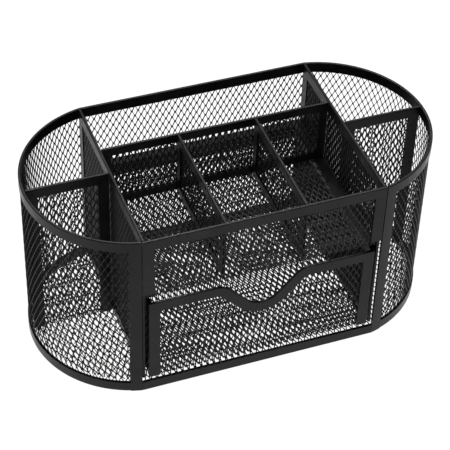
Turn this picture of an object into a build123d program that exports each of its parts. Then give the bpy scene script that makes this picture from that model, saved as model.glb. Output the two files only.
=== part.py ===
from build123d import *
import os
from math import radians, tan

# Desk organizer of black steel mesh: a rounded shell with two full-height pockets
# at each end, four shallow trays on a raised floor between them, and a drawer
# under that floor.
# Millimetres. +X is right, the drawer opens towards -Y, +Z is up.
# The origin is on the floor, under the middle of the organizer.

# ---- driving dimensions ----
LENGTH = 205.0
WIDTH = 103.0
HEIGHT = 98.0

STEEL = 0.35  # sheet steel that the edge strips are folded from
MESH = 0.8  # thickness of the expanded mesh
STRIP = MESH + 2 * STEEL  # thickness of a folded strip with the mesh inside
BAND = 5.6  # height of a folded strip
INNER_BAND = 4.6  # height of the strips round the dividers between the trays
FOLD_R = 0.45  # outer radius of a strip's fold
FIT = 0.1  # gap where one fixed piece ends against another
CURVE_FIT = 0.15  # gap to a curved face

WALL_X = 59.6  # middle of each side wall, and where the rounded ends begin
DIVIDER_Y = 17.2  # middle of the divider between the front trays and the rear tray
TRAY_SPLIT_X = 20.0  # middle of each divider between the front trays
SHELL_FRONT_X = 60.9  # where the shell's mesh ends at the front
SHELL_END_W = 5.4  # width across X of the shell's upright end strips
PANEL_X = 60.4  # half width of the upper front panel
PANEL_LOW = 64.4  # lower end of the front panel's side strips

FLOOR_TOP = 7.2  # upper face of the base floor
TRAY_Z = 62.4  # upper face of the tray floor

DRAWER_X = 57.5  # half width of the drawer
DRAWER_LIFT = 0.4  # gap between the base floor and the drawer
DRAWER_TOP = 58.2  # top of the drawer's front, sides and back
DRAWER_BACK_Y = 49.0  # rear face of the drawer

DIP_DEPTH = 16.4  # depth of the finger dip in the drawer's front
DIP_SLOPE = 47.0  # steepest slope of the dip, in degrees
DIP_R = 10.0  # radius of the dip's bends
DIP_FLAT = 0.3  # short level stretch at the bottom of the dip

# ---- derived ----
EDGE_Y = WIDTH / 2 - STRIP / 2  # middle of the front and back planes
FRONT_Y = -EDGE_Y
END_DEPTH = LENGTH / 2 - STRIP / 2 - WALL_X
END_R = (EDGE_Y**2 + END_DEPTH**2) / (2 * END_DEPTH)  # middle radius of the rounded ends
END_X = WALL_X + END_DEPTH - END_R  # centre of the rounded ends
INNER_Y = EDGE_Y - STRIP / 2 - FIT  # where a piece ends inside the front or back
WALL_IN = WALL_X - STRIP / 2  # inner face of a side wall
WALL_OUT = WALL_X + STRIP / 2
RIM_IN = LENGTH / 2 - STRIP - CURVE_FIT
DRAWER_Z = FLOOR_TOP + DRAWER_LIFT + MESH  # upper face of the drawer's floor
TALL = HEIGHT + 2.0
WIDE = LENGTH + 2.0

parts = {}


def block(low, high):
    """A box between two corners."""
    size = [b - a for a, b in zip(low, high)]
    middle = tuple((a + b) / 2 for a, b in zip(low, high))
    return Pos(*middle) * Box(*size)


def mirrored(solid, side):
    """The solid itself on the right, and its mirror image on the left."""
    return solid if side > 0 else mirror(solid, about=Plane.YZ)


# ---- folded edge strips ----
def strip_section(band=BAND):
    """Section of a strip: closed and rounded at the top (y = 0), open below."""
    outer = Rectangle(STRIP, band, align=(Align.CENTER, Align.MAX))
    outer = fillet(outer.vertices().group_by(Axis.Y)[-1], FOLD_R)
    slot_height = band - STEEL
    slot = Rectangle(MESH, slot_height, align=(Align.CENTER, Align.MIN))
    return outer - Pos(0, -band) * slot


def mitre_wedge(band=BAND):
    """What a 45 degree mitre takes off the start of a strip that runs along +X."""
    corner = Polygon((0, 0), (0, -band), (band, -band), align=None)
    return extrude(Plane.XZ * corner, STRIP, both=True)


def strip(start, end, inward, mitre_start=True, mitre_end=True, band=BAND):
    """A straight strip: its fold runs from start to end, its open side faces inward."""
    run = Vector(*end) - Vector(*start)
    up = Vector(*inward) * -1
    section = Plane(origin=start, x_dir=up.cross(run), z_dir=run) * strip_section(band)
    solid = extrude(section, run.length)
    face_up = Plane(origin=start, x_dir=run, z_dir=up)
    wedge = mitre_wedge(band)
    if mitre_start:
        solid -= face_up.location * wedge
    if mitre_end:
        solid -= face_up.location * (Pos(run.length) * mirrored(wedge, -1))
    return solid


def framed_sheet(name, low, high, thin, edges, band=BAND):
    """A flat mesh sheet with strips on the named edges.

    low and high are the outer corners of the strips. thin is the axis of the
    sheet's thickness, 0 for X or 1 for Y, and the sheet lies halfway between
    low and high along it. edges holds the names top, bottom, first and last,
    where first and last are the upright edges with the lower and the higher
    coordinate. Edges with the same label share one strip that turns the corner.
    """
    along = 1 - thin
    middle = (low[thin] + high[thin]) / 2
    sheet_low, sheet_high = list(low), list(high)
    sheet_low[thin] = middle - MESH / 2
    sheet_high[thin] = middle + MESH / 2
    sheet_low[along] += STEEL if "first" in edges else 0
    sheet_high[along] -= STEEL if "last" in edges else 0
    sheet_low[2] += STEEL if "bottom" in edges else 0
    sheet_high[2] -= STEEL if "top" in edges else 0
    parts[f"{name}_mesh"] = block(sheet_low, sheet_high)

    def corner(position, height):
        point = [0, 0, height]
        point[thin] = middle
        point[along] = position
        return tuple(point)

    near, far = [0, 0, 0], [0, 0, 0]
    near[along], far[along] = 1, -1
    a, b, c, d = low[along], high[along], low[2], high[2]
    runs = {
        "top": (corner(a, d), corner(b, d), (0, 0, -1), "first", "last"),
        "bottom": (corner(a, c), corner(b, c), (0, 0, 1), "first", "last"),
        "first": (corner(a, c), corner(a, d), near, "bottom", "top"),
        "last": (corner(b, c), corner(b, d), far, "bottom", "top"),
    }
    for edge, label in edges.items():
        start, end, inward, before, after = runs[edge]
        piece = strip(start, end, inward, before in edges, after in edges, band)
        node = f"{name}_{label}_strip"
        parts[node] = parts[node] + piece if node in parts else piece


# ---- shell with rounded ends ----
def end_ring(thickness, low, high):
    """A ring wall round the centre of the right-hand end."""
    height = high - low
    align = (Align.CENTER, Align.CENTER, Align.MIN)
    outer = Cylinder(END_R + thickness / 2, height, align=align)
    inner = Cylinder(END_R - thickness / 2, height, align=align)
    return Pos(END_X, 0, low) * (outer - inner)


def end_strip_ring(fold_z, fold_up):
    """A folded strip bent into a ring round the centre of the right-hand end.

    fold_up is 1 where the fold is the strip's top edge, and -1 where it is the bottom.
    """
    start = (END_X + END_R, 0, fold_z)
    plane = Plane(origin=start, x_dir=(-fold_up, 0, 0), z_dir=(0, 1, 0))
    return revolve(plane * strip_section(), Axis((END_X, 0, 0), (0, 0, 1)), 360)


def end_part(ring, front_x):
    """The stretch of a ring from front_x at the front round to the back wall."""
    rear = block((WALL_X, 0, -1), (WIDE, WIDTH, TALL))
    front = block((front_x, -WIDTH, -1), (WIDE, 0, TALL))
    return ring & (rear + front)


def shell():
    """The wrapped mesh with its rims and its two upright end strips."""
    mesh_low, mesh_high = STEEL, HEIGHT - STEEL
    mesh_end = SHELL_FRONT_X + STEEL
    strip_end = SHELL_FRONT_X + SHELL_END_W
    upright_top = HEIGHT - BAND
    end_mesh = end_part(end_ring(MESH, mesh_low, mesh_high), mesh_end)
    top_rim = end_part(end_strip_ring(HEIGHT, 1), SHELL_FRONT_X)
    low_rim = end_part(end_strip_ring(0, -1), strip_end)
    upright_zone = block((SHELL_FRONT_X, -WIDTH, 0), (strip_end, 0, upright_top))
    slot_zone = block((mesh_end, -WIDTH, 0), (strip_end, 0, upright_top))
    upright = (end_ring(STRIP, 0, upright_top) & upright_zone) - (
        end_ring(MESH, 0, upright_top) & slot_zone
    )
    for side, label in ((-1, "left"), (1, "right")):
        parts[f"shell_{label}_mesh"] = mirrored(end_mesh, side)
        parts[f"rim_top_{label}"] = mirrored(top_rim, side)
        parts[f"rim_bottom_{label}"] = mirrored(low_rim, side)
        parts[f"shell_end_strip_{label}"] = mirrored(upright, side)
    back_low, back_high = EDGE_Y - MESH / 2, EDGE_Y + MESH / 2
    parts["shell_back_mesh"] = block(
        (-WALL_X, back_low, mesh_low), (WALL_X, back_high, mesh_high)
    )
    for label, z, inward in (("top", HEIGHT, -1), ("bottom", 0, 1)):
        start, end = (-WALL_X, EDGE_Y, z), (WALL_X, EDGE_Y, z)
        parts[f"rim_{label}_back"] = strip(start, end, (0, 0, inward), False, False)


# ---- base ----
def base():
    """The raised floor with its turned-down front edge, and the strip on that edge."""
    floor_low = FLOOR_TOP - MESH
    floor_r = END_R - STRIP / 2 - CURVE_FIT
    across = (floor_r**2 - (WALL_X - END_X) ** 2) ** 0.5
    disc = extrude(Pos(END_X, 0, floor_low) * Circle(floor_r), MESH)
    end = disc & block((WALL_X, -WIDTH, floor_low), (WIDE, WIDTH, FLOOR_TOP))
    middle = block((-WALL_X, -across, floor_low), (WALL_X, across, FLOOR_TOP))
    lip_in, lip_out = FRONT_Y + MESH / 2, FRONT_Y - MESH / 2
    front = block((-WALL_X, lip_out, floor_low), (WALL_X, -across, FLOOR_TOP))
    lip = block((-WALL_X, lip_out, STEEL), (WALL_X, lip_in, floor_low))
    parts["base_floor_mesh"] = middle + end + mirrored(end, -1) + front + lip
    reach = SHELL_FRONT_X - FIT
    start, end = (-reach, FRONT_Y, 0), (reach, FRONT_Y, 0)
    parts["base_front_strip"] = strip(start, end, (0, 0, 1), False, False)


# ---- fixed walls and dividers ----
def walls():
    """Two full-height side walls from front to back."""
    edges = {"top": "top", "bottom": "bottom", "first": "front", "last": "rear"}
    for side, label in ((-1, "left"), (1, "right")):
        x = side * WALL_X
        low = (x - STRIP / 2, -INNER_Y, FLOOR_TOP)
        high = (x + STRIP / 2, INNER_Y, HEIGHT)
        framed_sheet(f"wall_{label}", low, high, 0, edges)


def end_dividers():
    """A full-height divider across each rounded end, from the wall to the rim."""
    near, far = WALL_OUT + FIT, RIM_IN
    for side, label in ((-1, "left"), (1, "right")):
        first, last = sorted((side * near, side * far))
        low, high = (first, -STRIP / 2, FLOOR_TOP), (last, STRIP / 2, HEIGHT)
        ends = ("rim", "wall") if side < 0 else ("wall", "rim")
        edges = {"top": "top", "first": ends[0], "last": ends[1]}
        framed_sheet(f"end_divider_{label}", low, high, 1, edges)


# ---- trays ----
def trays():
    """The upper front panel and the tray floor, one folded sheet in two nodes."""
    low = (-PANEL_X, FRONT_Y - STRIP / 2, PANEL_LOW)
    high = (PANEL_X, FRONT_Y + STRIP / 2, HEIGHT)
    framed_sheet("front_panel", low, high, 1, {"top": "top", "first": "left", "last": "right"})

    reach = WALL_IN - FIT
    sheet_x, sheet_y = reach - STEEL, INNER_Y - STEEL
    front_low, front_high = FRONT_Y - MESH / 2, FRONT_Y + MESH / 2
    neck_low, neck_high = (-sheet_x, front_low, TRAY_Z), (sheet_x, front_high, PANEL_LOW)
    parts["front_panel_mesh"] += block(neck_low, neck_high)
    floor_low, floor_high = (-sheet_x, front_low, TRAY_Z - MESH), (sheet_x, sheet_y, TRAY_Z)
    parts["tray_floor_mesh"] = block(floor_low, floor_high)

    floor_mid = TRAY_Z - MESH / 2
    left, right = (-reach, INNER_Y, floor_mid), (reach, INNER_Y, floor_mid)
    parts["tray_floor_rear_strip"] = strip(left, right, (0, -1, 0))
    for side, label in ((-1, "left"), (1, "right")):
        start = (side * reach, -INNER_Y, floor_mid)
        end = (side * reach, INNER_Y, floor_mid)
        parts[f"tray_floor_{label}_strip"] = strip(start, end, (-side, 0, 0), False, True)


def tray_dividers():
    """A long divider that makes the rear tray, and two short ones between the front trays."""
    reach, strip_top = WALL_IN - FIT, TRAY_Z - MESH / 2 + STRIP / 2
    front, rear = DIVIDER_Y - STRIP / 2, DIVIDER_Y + STRIP / 2
    edges = {"top": "top", "bottom": "bottom", "first": "left", "last": "right"}
    low, high = (-reach, front, strip_top), (reach, rear, HEIGHT)
    framed_sheet("rear_divider", low, high, 1, edges, INNER_BAND)

    edges = {edge: "edge" for edge in edges}
    for side, label in ((-1, "left"), (1, "right")):
        x = side * TRAY_SPLIT_X
        low, high = (x - STRIP / 2, -INNER_Y, TRAY_Z), (x + STRIP / 2, front - FIT, HEIGHT)
        framed_sheet(f"tray_divider_{label}", low, high, 0, edges, INNER_BAND)


# ---- drawer ----
def dip_line(drop):
    """The top edge of the drawer's front with its finger dip, lowered by drop."""
    shift = drop * tan(radians(DIP_SLOPE / 2))
    foot = DIP_R * tan(radians(DIP_SLOPE / 2)) + DIP_FLAT / 2 + shift
    shoulder = foot + DIP_DEPTH / tan(radians(DIP_SLOPE))
    top, bottom, reach = DRAWER_TOP - drop, DRAWER_TOP - DIP_DEPTH - drop, DRAWER_X - drop
    corners = [(-reach, top), (-shoulder, top), (-foot, bottom)]
    corners += [(-x, z) for x, z in reversed(corners)]
    bends = [DIP_R - drop, DIP_R + drop, DIP_R + drop, DIP_R - drop]
    return FilletPolyline(*corners, radius=bends)


def front_sheet():
    """The drawer front's mesh, from the drawer's floor up into its edge strips."""
    upper = dip_line(STEEL)
    reach = DRAWER_X - STEEL
    lower = Polyline(upper @ 0, (-reach, DRAWER_Z), (reach, DRAWER_Z), upper @ 1)
    outline = Plane.XZ * make_face([upper, lower])
    return Pos(0, FRONT_Y, 0) * extrude(outline, MESH / 2, both=True)


def dip_strip():
    """The folded strip that follows the drawer's top edge, mitred at both ends."""
    path = Plane.XZ * dip_line(0)
    section = Plane(origin=path @ 0, x_dir=(0, 1, 0), z_dir=(1, 0, 0)) * strip_section()
    swept = Pos(0, FRONT_Y, 0) * sweep(section, path=path)
    left = Pos(-DRAWER_X, FRONT_Y, DRAWER_TOP) * mitre_wedge()
    return swept - left - mirrored(left, -1)


def drawer():
    """The drawer: a mesh front with a dip, and a mesh box of the same height behind it."""
    parts["drawer_front_mesh"] = front_sheet()
    parts["drawer_front_top_strip"] = dip_strip()
    for side, label in ((-1, "left"), (1, "right")):
        top = (side * DRAWER_X, FRONT_Y, DRAWER_TOP)
        foot = (side * DRAWER_X, FRONT_Y, DRAWER_Z)
        parts[f"drawer_front_{label}_strip"] = strip(top, foot, (-side, 0, 0), True, False)

    wall = DRAWER_X - STRIP / 2
    rear = DRAWER_BACK_Y - STRIP / 2
    sheet_top = DRAWER_TOP - STEEL
    parts["drawer_floor_mesh"] = block(
        (-wall - MESH / 2, FRONT_Y - MESH / 2, DRAWER_Z - MESH),
        (wall + MESH / 2, rear + MESH / 2, DRAWER_Z),
    )
    parts["drawer_back_mesh"] = block(
        (MESH / 2 - wall, rear - MESH / 2, DRAWER_Z),
        (wall - MESH / 2, rear + MESH / 2, sheet_top),
    )
    back_strip, side_strip = box_top_strips(wall, rear)
    parts["drawer_back_top_strip"] = back_strip
    side_mesh = block(
        (wall - MESH / 2, -INNER_Y, DRAWER_Z), (wall + MESH / 2, rear + MESH / 2, sheet_top)
    )
    for side, label in ((-1, "left"), (1, "right")):
        parts[f"drawer_{label}_side_mesh"] = mirrored(side_mesh, side)
        parts[f"drawer_{label}_side_top_strip"] = mirrored(side_strip, side)


def box_top_strips(wall, rear):
    """The strips on the drawer's back and right side, mitred in plan where they meet.

    wall is the middle of the side in X, and rear is the middle of the back in Y.
    """
    down, z = (0, 0, -1), DRAWER_TOP
    back = strip((-DRAWER_X, rear, z), (DRAWER_X, rear, z), down, False, False)
    side = strip((wall, -INNER_Y, z), (wall, DRAWER_BACK_Y, z), down, False, False)
    x, y, cut = DRAWER_X, DRAWER_BACK_Y, 2 * STRIP
    outline = Polygon((x, y), (x - cut, y - cut), (x, y - cut), align=None)
    corner = extrude(Pos(0, 0, z - BAND) * outline, BAND)
    length = block((wall - STRIP, -INNER_Y, z - BAND), (x, y - cut, z))
    return back - corner - mirrored(corner, -1), side & (corner + length)


shell()
base()
walls()
end_dividers()
trays()
tray_dividers()
drawer()

os.makedirs("parts", exist_ok=True)
for name, solid in parts.items():
    export_step(solid, f"parts/{name}.step")
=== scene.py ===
"""Desk organizer of black steel mesh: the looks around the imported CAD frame.

The folded edge strips are the CAD solids. Every mesh sheet is replaced by
expanded metal, built strand by strand on the place of its CAD sheet.
Lengths are in metres, and MM turns millimetres into them.
"""
from math import atan2, ceil, cos, floor, pi, radians, sin

import bmesh
import bpy
import numpy as np
from mathutils import Matrix, Vector
from mathutils.bvhtree import BVHTree


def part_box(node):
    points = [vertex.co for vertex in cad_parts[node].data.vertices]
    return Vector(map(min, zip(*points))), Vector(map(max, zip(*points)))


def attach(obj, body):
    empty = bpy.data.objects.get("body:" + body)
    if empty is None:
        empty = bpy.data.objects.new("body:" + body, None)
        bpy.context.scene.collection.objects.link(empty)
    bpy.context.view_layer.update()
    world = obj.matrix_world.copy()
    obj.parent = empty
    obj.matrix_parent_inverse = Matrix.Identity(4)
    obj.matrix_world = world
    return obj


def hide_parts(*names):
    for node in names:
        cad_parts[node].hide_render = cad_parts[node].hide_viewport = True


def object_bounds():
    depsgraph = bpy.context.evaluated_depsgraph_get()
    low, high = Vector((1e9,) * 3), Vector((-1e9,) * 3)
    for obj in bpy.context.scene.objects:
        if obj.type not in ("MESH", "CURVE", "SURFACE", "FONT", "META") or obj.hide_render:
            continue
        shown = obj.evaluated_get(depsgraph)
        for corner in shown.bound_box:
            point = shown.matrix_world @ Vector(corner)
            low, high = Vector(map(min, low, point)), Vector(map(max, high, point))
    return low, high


MM = 0.001

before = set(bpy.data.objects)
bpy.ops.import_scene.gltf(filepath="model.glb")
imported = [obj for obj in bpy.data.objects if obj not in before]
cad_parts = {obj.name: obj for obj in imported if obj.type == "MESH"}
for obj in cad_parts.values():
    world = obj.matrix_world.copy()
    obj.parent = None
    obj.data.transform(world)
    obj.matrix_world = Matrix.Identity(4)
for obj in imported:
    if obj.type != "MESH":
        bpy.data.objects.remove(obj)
cad_low, cad_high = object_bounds()

# ---- expanded metal ----
CELL_W = 3.27 * MM  # a diamond's short way
CELL_H = 6.0 * MM  # a diamond's long way
STRAND = 0.74 * MM  # width of a strand across the short way
SHELL_STRAND = 0.5 * MM  # the same in the shell, narrower to match how open it looks
BOND = 0.5 * MM  # half height of the bond where strands meet
BLUNT = 0.12 * MM  # half width of a hole's blunt ends
THICK = 0.5 * MM  # thickness of the steel with its paint
ROUND = 0.09 * MM  # rounding of a strand's edges
TILT = 0.3  # slope of the strands across the sheet, left by the stretching
FOLD_R = 1.0 * MM  # bend radius where one sheet makes two panels
FOLD_CUTS = 4  # cuts that let the strands follow a fold
ARC_CUTS = 24  # straight cuts along each rounded end of the base floor
NEAR = 1e-7  # points closer than this are one point
FLAT_ENOUGH = 0.9  # a face whose normal has this much Z is the sheet's upper or lower face

# where a bond of each sheet lies, and how far the sheet was cut askew
SHELL_PHASE = (0.0, -0.6 * MM, 0.0)
TRAY_PHASE = (0.4 * MM, 1.1 * MM, radians(1.2))
DRAWER_PHASE = (1.3 * MM, 0.2 * MM, radians(1.8))
BASE_PHASE = (0.8 * MM, 2.0 * MM, radians(-1.6))
UPRIGHT_PHASE = (0.0, 0.0, 0.0)


# ---- materials ----
DARK_PAINT = (0.006, 0.006, 0.0065, 1)
LIGHT_PAINT = (0.015, 0.015, 0.016, 1)
TONE_RANGE = (0.3, 0.75)  # noise values where the paint is darkest and lightest
TONE_SCALE = 90
ROUGH_RANGE = (0.3, 0.7)  # noise values where the paint is glossiest and dullest
ROUGH_SCALE = 260
SKIN_HEIGHT = 0.06 * MM


def map_range(nodes, given, wanted):
    """A node that turns the range given into the range wanted."""
    node = nodes.new("ShaderNodeMapRange")
    node.inputs["From Min"].default_value, node.inputs["From Max"].default_value = given
    node.inputs["To Min"].default_value, node.inputs["To Max"].default_value = wanted
    return node


def paint(name, grain, bump, gloss, rough_low, rough_high):
    """Black powder coat: a near-black paint with a fine uneven skin.

    grain and bump are the scale and the strength of the skin. gloss is the specular
    level, and the roughness goes from rough_low to rough_high.
    """
    material = bpy.data.materials.new(name)
    material.use_nodes = True
    nodes, links = material.node_tree.nodes, material.node_tree.links
    shader = nodes["Principled BSDF"]
    shader.inputs["Specular IOR Level"].default_value = gloss
    place = nodes.new("ShaderNodeTexCoord")

    def noise(scale, detail):
        node = nodes.new("ShaderNodeTexNoise")
        node.inputs["Scale"].default_value = scale
        node.inputs["Detail"].default_value = detail
        links.new(place.outputs["Object"], node.inputs["Vector"])
        return node.outputs["Fac"]

    tone = nodes.new("ShaderNodeValToRGB")
    ends = zip(tone.color_ramp.elements, TONE_RANGE, (DARK_PAINT, LIGHT_PAINT))
    for element, position, colour in ends:
        element.position = position
        element.color = colour
    links.new(noise(TONE_SCALE, 3), tone.inputs["Fac"])
    links.new(tone.outputs["Color"], shader.inputs["Base Color"])

    rough = map_range(nodes, ROUGH_RANGE, (rough_low, rough_high))
    links.new(noise(ROUGH_SCALE, 4), rough.inputs["Value"])
    links.new(rough.outputs["Result"], shader.inputs["Roughness"])

    skin = nodes.new("ShaderNodeBump")
    skin.inputs["Strength"].default_value = bump
    skin.inputs["Distance"].default_value = SKIN_HEIGHT
    links.new(noise(grain, 2), skin.inputs["Height"])
    links.new(skin.outputs["Normal"], shader.inputs["Normal"])
    return material


strip_paint = paint("strip_paint", 1400, 0.35, 0.17, 0.26, 0.38)
mesh_paint = paint("mesh_paint", 1800, 0.3, 0.15, 0.32, 0.46)


# ---- flat expanded metal ----
def turned(u, v, turn):
    """The point u, v turned round the origin of the sheet."""
    return u * cos(turn) - v * sin(turn), u * sin(turn) + v * cos(turn)


def lattice(outline, phase, strand):
    """Flat expanded metal that covers the outline.

    u is the short way of the diamonds and v the long way. Holes are octagons,
    long and blunt, and bonds and strands are the faces between them.
    """
    half_w, half_h = CELL_W / 2, CELL_H / 2
    side, tip = half_w - strand, half_h - BOND
    hole = [(side, -BOND), (side, BOND), (BLUNT, tip), (-BLUNT, tip)]
    hole += [(-u, -v) for u, v in hole]
    bm = bmesh.new()
    corners = {}

    def corner(i, j, k):
        """Corner k of the hole in half column i and half row j."""
        if (i, j, k) not in corners:
            u = phase[0] + i * half_w + hole[k][0]
            v = phase[1] + j * half_h + hole[k][1]
            corners[i, j, k] = bm.verts.new((*turned(u, v, phase[2]), 0.0))
        return corners[i, j, k]

    square = [turned(u, v, -phase[2]) for u, v in outline]
    columns, rows = (
        range(
            floor((min(p[k] for p in square) - phase[k]) / step) - 1,
            ceil((max(p[k] for p in square) - phase[k]) / step) + 2,
        )
        for k, step in enumerate((half_w, half_h))
    )
    for i, j in ((i, j) for i in columns for j in rows if (i + j) % 2 == 0):
        right, above, left, below = (i + 1, j), (i, j + 1), (i - 1, j), (i, j - 1)
        bond = [(right, 5), (right, 4), (above, 7), (above, 6)]
        bond += [(left, 1), (left, 0), (below, 3), (below, 2)]
        up_right = [(right, 4), (right, 3), (above, 0), (above, 7)]
        up_left = [(left, 2), (left, 1), (above, 6), (above, 5)]
        for face in (bond, up_right, up_left):
            bm.faces.new([corner(*cell, k) for cell, k in face])
    return bm


def cut(bm, point, normal, clear):
    """Cuts flat expanded metal along a line, and clears the side that normal points to."""
    geometry = bm.verts[:] + bm.edges[:] + bm.faces[:]
    bmesh.ops.bisect_plane(
        bm, geom=geometry, dist=NEAR, plane_co=(*point, 0), plane_no=(*normal, 0), clear_outer=clear
    )


def trimmed(outline, phase, strand=STRAND):
    """Expanded metal inside a convex outline, whose corners go anticlockwise."""
    bm = lattice(outline, phase, strand)
    for a, b in zip(outline, outline[1:] + outline[:1]):
        cut(bm, a, (b[1] - a[1], a[0] - b[0]), True)
    return bm


def joined(pieces):
    """One flat piece from several that share cut lines."""
    whole = bmesh.new()
    for bm in pieces:
        mesh = bpy.data.meshes.new("part_of_sheet")
        bm.to_mesh(mesh)
        bm.free()
        whole.from_mesh(mesh)
        bpy.data.meshes.remove(mesh)
    bmesh.ops.remove_doubles(whole, verts=whole.verts[:], dist=NEAR)
    return whole


def thickened(bm):
    """Gives flat expanded metal its thickness and rounds the edges of its strands."""
    half = THICK / 2 - ROUND
    made = bmesh.ops.extrude_face_region(bm, geom=bm.faces[:])
    top = [g for g in made["geom"] if isinstance(g, bmesh.types.BMVert)]
    top_set = set(top)
    for vert in bm.verts:
        vert.co.z = half if vert in top_set else -half
    bmesh.ops.recalc_face_normals(bm, faces=bm.faces[:])
    for side in (1, -1):
        faces = [f for f in bm.faces if f.normal.z * side > FLAT_ENOUGH]
        bmesh.ops.inset_region(
            bm, faces=faces, use_boundary=True, use_even_offset=False, thickness=ROUND, depth=ROUND
        )


def tilt_at(u, v, phase):
    """How far the stretched strands lean out of the sheet at u, v."""
    half_w, half_h = CELL_W / 2, CELL_H / 2
    u, v = turned(u, v, -phase[2])
    rows = (v - phase[1]) / half_h
    row = np.floor(rows)
    rise = (rows - row) * half_h
    along = np.clip((rise - BOND) / (half_h - 2 * BOND), 0, 1)
    from_bond = u - phase[0] - (row % 2) * half_w
    offsets = []
    for way in (1, -1):
        shift = from_bond - way * along * half_w
        offsets.append(shift - np.round(shift / CELL_W) * CELL_W)
    nearest = np.where(np.abs(offsets[0]) < np.abs(offsets[1]), offsets[0], offsets[1])
    return -TILT * nearest


def sheet(name, body, nodes, bm, place, phase, lean=1):
    """Thickens flat expanded metal, puts it in place and lets it stand for CAD nodes.

    place turns arrays of u, v and height above the sheet into points in the frame.
    lean is -1 where the sheet was put in with its other face up.
    """
    thickened(bm)
    mesh = bpy.data.meshes.new(name)
    bm.to_mesh(mesh)
    bm.free()
    flat = np.zeros(len(mesh.vertices) * 3, np.float32)
    mesh.vertices.foreach_get("co", flat)
    u, v, w = flat.reshape(-1, 3).astype(float).T
    w = w + lean * tilt_at(u, v, phase)
    points = np.stack(place(u, v, w), axis=1)
    mesh.vertices.foreach_set("co", points.astype(np.float32).ravel())
    mesh.polygons.foreach_set("use_smooth", np.ones(len(mesh.polygons), bool))
    mesh.update()
    outward = bmesh.new()
    outward.from_mesh(mesh)
    bmesh.ops.recalc_face_normals(outward, faces=outward.faces[:])
    outward.to_mesh(mesh)
    outward.free()
    mesh.materials.append(mesh_paint)
    piece = bpy.data.objects.new(name, mesh)
    bpy.context.scene.collection.objects.link(piece)
    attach(piece, body)
    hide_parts(*nodes)


def rectangle(u_low, u_high, v_low, v_high):
    """The corners of a rectangle, anticlockwise."""
    return [(u_low, v_low), (u_high, v_low), (u_high, v_high), (u_low, v_high)]


def upright_sheet(node, body, normal, lean=1):
    """Expanded metal on the place of an upright flat CAD sheet.

    normal is the axis that the sheet faces, 0 for X or 1 for Y.
    """
    low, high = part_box(node)
    along = 1 - normal
    middle = (low[normal] + high[normal]) / 2
    bm = trimmed(rectangle(low[along], high[along], low.z, high.z), UPRIGHT_PHASE)

    def place(u, v, w):
        return (middle + w, u, v) if normal == 0 else (u, middle + w, v)

    sheet(f"{node.removesuffix('_mesh')}_strands", body, [node], bm, place, UPRIGHT_PHASE, lean)


# ---- shell ----
def shell():
    """The wrapped sheet: a flat back and two rounded ends, with one run of diamonds."""
    back_low, back_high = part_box("shell_back_mesh")
    wall_x = back_high.x
    edge_y = (back_low.y + back_high.y) / 2
    end_low, end_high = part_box("shell_right_mesh")
    depth = end_high.x - (back_high.y - back_low.y) / 2 - wall_x
    radius = (edge_y**2 + depth**2) / (2 * depth)
    centre_x = wall_x + depth - radius
    back_angle = atan2(edge_y, wall_x - centre_x)
    front_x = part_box("shell_end_strip_right")[0].x
    front_angle = -np.arccos((front_x - centre_x) / radius)
    length = radius * (back_angle - front_angle)
    low, high = back_low.z, back_high.z

    def back_place(u, v, w):
        return u, edge_y + w, v

    bm = trimmed(rectangle(-wall_x, wall_x, low, high), SHELL_PHASE, SHELL_STRAND)
    sheet("shell_back_strands", "frame", ["shell_back_mesh"], bm, back_place, SHELL_PHASE)
    for side, label in ((-1, "left"), (1, "right")):
        ends = sorted((side * wall_x, side * (wall_x + length)))
        bm = trimmed(rectangle(*ends, low, high), SHELL_PHASE, SHELL_STRAND)

        def place(u, v, w, side=side):
            angle = back_angle - (side * u - wall_x) / radius
            x, y = centre_x + (radius + w) * np.cos(angle), (radius + w) * np.sin(angle)
            return side * x, y, v

        nodes = [f"shell_{label}_mesh"]
        sheet(f"shell_{label}_strands", "frame", nodes, bm, place, SHELL_PHASE)


# ---- sheets with a fold ----
def folded_place(corner_y, corner_z, turn):
    """Places a sheet that runs back from a corner for v below 0, and for v above 0
    goes up from it (turn 1) or down (turn -1)."""
    half_arc = FOLD_R * pi / 4

    def place(u, v, w):
        angle = np.clip((v + half_arc) / FOLD_R, 0, pi / 2)
        back = FOLD_R * (1 - np.sin(angle)) + np.clip(-v - half_arc, 0, None)
        rise = FOLD_R * (1 - np.cos(angle)) + np.clip(v - half_arc, 0, None)
        y = corner_y + back - w * np.sin(angle)
        z = corner_z + turn * (rise - w * np.cos(angle))
        return u, y, z

    return place


def fold_length(distance):
    """The v of a point at this distance from the corner of a fold."""
    return distance - FOLD_R + FOLD_R * pi / 4


def cut_fold(bm):
    """Cuts a flat sheet across its fold, so that it can bend there."""
    half_arc = FOLD_R * pi / 4
    for k in range(FOLD_CUTS + 1):
        cut(bm, (0, half_arc * (2 * k / FOLD_CUTS - 1)), (0, 1), False)


def middle(node, axis):
    """The middle of a CAD node along an axis."""
    low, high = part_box(node)
    return (low[axis] + high[axis]) / 2


def tray_sheet():
    """The upper front panel and the tray floor, one folded sheet."""
    panel_low, panel_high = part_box("front_panel_mesh")
    floor_low, floor_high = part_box("tray_floor_mesh")
    corner_y, corner_z = middle("front_panel_mesh", 1), middle("tray_floor_mesh", 2)
    place = folded_place(corner_y, corner_z, 1)
    top, rear = fold_length(panel_high.z - corner_z), -fold_length(floor_high.y - corner_y)
    strips_end = fold_length(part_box("front_panel_left_strip")[0].z - corner_z)
    panel = trimmed(rectangle(panel_low.x, panel_high.x, strips_end, top), TRAY_PHASE)
    neck = trimmed(rectangle(floor_low.x, floor_high.x, 0, strips_end), TRAY_PHASE)
    level = trimmed(rectangle(floor_low.x, floor_high.x, rear, 0), TRAY_PHASE)
    bm = joined([panel, neck, level])
    cut_fold(bm)
    nodes = ["front_panel_mesh", "tray_floor_mesh"]
    sheet("tray_sheet_strands", "frame", nodes, bm, place, TRAY_PHASE)


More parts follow.
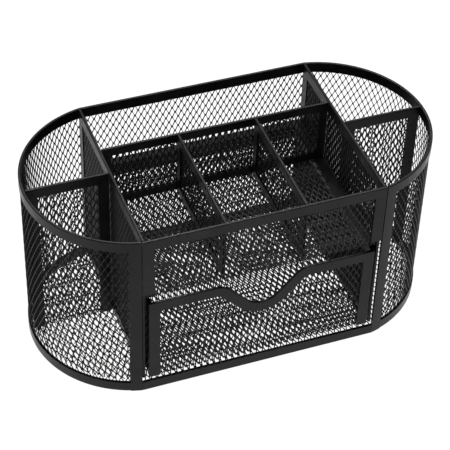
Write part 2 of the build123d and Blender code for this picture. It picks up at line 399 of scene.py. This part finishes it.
def inside_test(node):
    """Tells whether x, z lies on an upright CAD sheet that faces Y."""
    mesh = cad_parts[node].data
    tree = BVHTree.FromPolygons([v.co for v in mesh.vertices], [p.vertices for p in mesh.polygons])
    start_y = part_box(node)[0].y - CELL_W

    def inside(x, z):
        return tree.ray_cast(Vector((x, start_y, z)), Vector((0, 1, 0)))[0] is not None

    return inside


def drawer_sheet():
    """The drawer's front with its finger dip and the drawer's floor, one folded sheet."""
    front_low, front_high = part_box("drawer_front_mesh")
    floor_low, floor_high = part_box("drawer_floor_mesh")
    corner_y, corner_z = middle("drawer_front_mesh", 1), middle("drawer_floor_mesh", 2)
    place = folded_place(corner_y, corner_z, 1)
    top, rear = fold_length(front_high.z - corner_z), -fold_length(floor_high.y - corner_y)
    front = trimmed(rectangle(front_low.x, front_high.x, 0, top), DRAWER_PHASE)
    inside = inside_test("drawer_front_mesh")
    lift = corner_z - fold_length(0)
    safe = front_low.z + CELL_H

    def past_edge(vert):
        x, z = vert.co.x, vert.co.y + lift
        return z > safe and not inside(x, z)

    waste = [face for face in front.faces if any(past_edge(vert) for vert in face.verts)]
    bmesh.ops.delete(front, geom=waste, context="FACES")
    level = trimmed(rectangle(floor_low.x, floor_high.x, rear, 0), DRAWER_PHASE)
    bm = joined([front, level])
    cut_fold(bm)
    nodes = ["drawer_front_mesh", "drawer_floor_mesh"]
    sheet("drawer_sheet_strands", "drawer", nodes, bm, place, DRAWER_PHASE)


def base_sheet():
    """The base floor with its rounded ends and its turned-down front edge."""
    low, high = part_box("base_floor_mesh")
    sheet_low, sheet_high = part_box("tray_floor_mesh")
    half_sheet = (sheet_high.z - sheet_low.z) / 2
    corner_y, corner_z = low.y + half_sheet, high.z - half_sheet
    place = folded_place(corner_y, corner_z, -1)
    wall_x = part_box("shell_back_mesh")[1].x
    radius, centre_x = base_arc(high.x, high.y, wall_x)

    def to_v(y):
        return -fold_length(y - corner_y)

    lip = fold_length(corner_z - low.z)
    pieces = [trimmed(rectangle(-wall_x, wall_x, to_v(high.y), lip), BASE_PHASE)]
    reach = np.arccos((wall_x - centre_x) / radius)
    arc = [reach * (2 * k / ARC_CUTS - 1) for k in range(ARC_CUTS + 1)]
    right = [(centre_x + radius * cos(a), to_v(radius * sin(a))) for a in arc]
    left = [(-u, v) for u, v in right]
    pieces += [trimmed(right[::-1], BASE_PHASE), trimmed(left, BASE_PHASE)]
    bm = joined(pieces)
    cut_fold(bm)
    sheet("base_floor_strands", "frame", ["base_floor_mesh"], bm, place, BASE_PHASE)


def base_arc(end_x, edge_y, wall_x):
    """Radius and centre of the floor's rounded end, through its widest and longest points."""
    depth = end_x - wall_x
    radius = (edge_y**2 + depth**2) / (2 * depth)
    return radius, end_x - radius


shell()
tray_sheet()
drawer_sheet()
base_sheet()
for label in ("left", "right"):
    upright_sheet(f"wall_{label}_mesh", "frame", 0)
    upright_sheet(f"end_divider_{label}_mesh", "frame", 1)
    upright_sheet(f"tray_divider_{label}_mesh", "frame", 0, -1)
    upright_sheet(f"drawer_{label}_side_mesh", "drawer", 0)
upright_sheet("rear_divider_mesh", "frame", 1)
upright_sheet("drawer_back_mesh", "drawer", 1)

# ---- CAD strips ----
for name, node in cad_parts.items():
    if name.endswith("_strip") or name.startswith("rim_") or "end_strip" in name:
        node.data.materials.clear()
        node.data.materials.append(strip_paint)


# ---- floor, light and camera ----
FLOOR_SIZE = 6.0
FLOOR_GAP = 0.1 * MM  # between the floor and the organizer
FLOOR_TONE = 0.06
FLOOR_GLOW = 1.0
BRIGHT_WAY = (0.6, 0.8, 0.0)  # the studio is brightest in this direction
WORLD_TURN = (-0.5, 0.7)  # how far towards it the light starts and stops growing
WORLD_LIGHT = (0.06, 0.5)
LIGHT_AIM = (0, 0, 0.05)


def studio_floor():
    """A white light table, which the organizer stands on."""
    half = FLOOR_SIZE / 2
    mesh = bpy.data.meshes.new("studio_floor")
    corners = [(-half, -half), (half, -half), (half, half), (-half, half)]
    mesh.from_pydata([(x, y, cad_low.z - FLOOR_GAP) for x, y in corners], [], [(0, 1, 2, 3)])
    material = bpy.data.materials.new("studio_floor")
    material.use_nodes = True
    shader = material.node_tree.nodes["Principled BSDF"]
    shader.inputs["Base Color"].default_value = (FLOOR_TONE, FLOOR_TONE, FLOOR_TONE, 1)
    shader.inputs["Roughness"].default_value = 0.9
    shader.inputs["Emission Color"].default_value = (1, 1, 1, 1)
    shader.inputs["Emission Strength"].default_value = FLOOR_GLOW
    mesh.materials.append(material)
    floor_object = bpy.data.objects.new("studio_floor", mesh)
    bpy.context.scene.collection.objects.link(floor_object)


def softbox(name, place, size, power):
    """A rectangular soft light that faces the organizer."""
    light = bpy.data.lights.new(name, "AREA")
    light.shape = "RECTANGLE"
    light.size, light.size_y = size
    light.energy = power
    lamp = bpy.data.objects.new(name, light)
    lamp.location = place
    lamp.rotation_euler = (Vector(LIGHT_AIM) - Vector(place)).to_track_quat("-Z", "Y").to_euler()
    bpy.context.scene.collection.objects.link(lamp)


def studio_world():
    """A studio that is bright behind and to the right, and dark towards the front."""
    world = bpy.data.worlds.new("studio")
    world.use_nodes = True
    nodes, links = world.node_tree.nodes, world.node_tree.links
    place = nodes.new("ShaderNodeTexCoord")
    facing = nodes.new("ShaderNodeVectorMath")
    facing.operation = "DOT_PRODUCT"
    facing.inputs[1].default_value = BRIGHT_WAY
    level = map_range(nodes, WORLD_TURN, WORLD_LIGHT)
    links.new(place.outputs["Generated"], facing.inputs[0])
    links.new(facing.outputs["Value"], level.inputs["Value"])
    links.new(level.outputs["Result"], nodes["Background"].inputs["Strength"])
    bpy.context.scene.world = world


def studio_light():
    """Soft light from behind for the folds' bright edges, from above and from the left."""
    softbox("rear_softbox", (0.26, 0.68, 1.3), (0.7, 0.4), 20)
    softbox("overhead_softbox", (-0.1, -0.1, 1.4), (0.5, 0.4), 4)
    softbox("left_softbox", (-1.1, -0.3, 0.6), (0.3, 0.6), 2)
    bpy.context.scene.view_settings.view_transform = "Standard"


AZIMUTH = radians(-21.61)
ELEVATION = radians(42.368)
ROLL = radians(2.125)
DISTANCE = 0.8352
LENS = 133.83  # millimetres, on Blender's 36 mm sensor
CENTRE = Vector((0, 0, 0.049))
AIM_SIDE, AIM_RISE = -0.559 * MM, -1.343 * MM  # where the camera looks, from the centre


def camera():
    """A long lens from the left front, above the rims."""
    back = Vector(
        (sin(AZIMUTH) * cos(ELEVATION), -cos(AZIMUTH) * cos(ELEVATION), sin(ELEVATION))
    )
    level = Vector((0, 0, 1)).cross(back).normalized()
    rise = back.cross(level)
    right = level * cos(ROLL) + rise * sin(ROLL)
    up = rise * cos(ROLL) - level * sin(ROLL)
    target = CENTRE + level * AIM_SIDE + rise * AIM_RISE
    data = bpy.data.cameras.new("camera")
    data.lens = LENS
    data.clip_start, data.clip_end = 0.01, 20
    eye = bpy.data.objects.new("camera", data)
    turn = Matrix((right, up, back)).transposed().to_4x4()
    eye.matrix_world = Matrix.Translation(target + back * DISTANCE) @ turn
    bpy.context.scene.collection.objects.link(eye)
    bpy.context.scene.camera = eye


studio_floor()
studio_world()
studio_light()
camera()
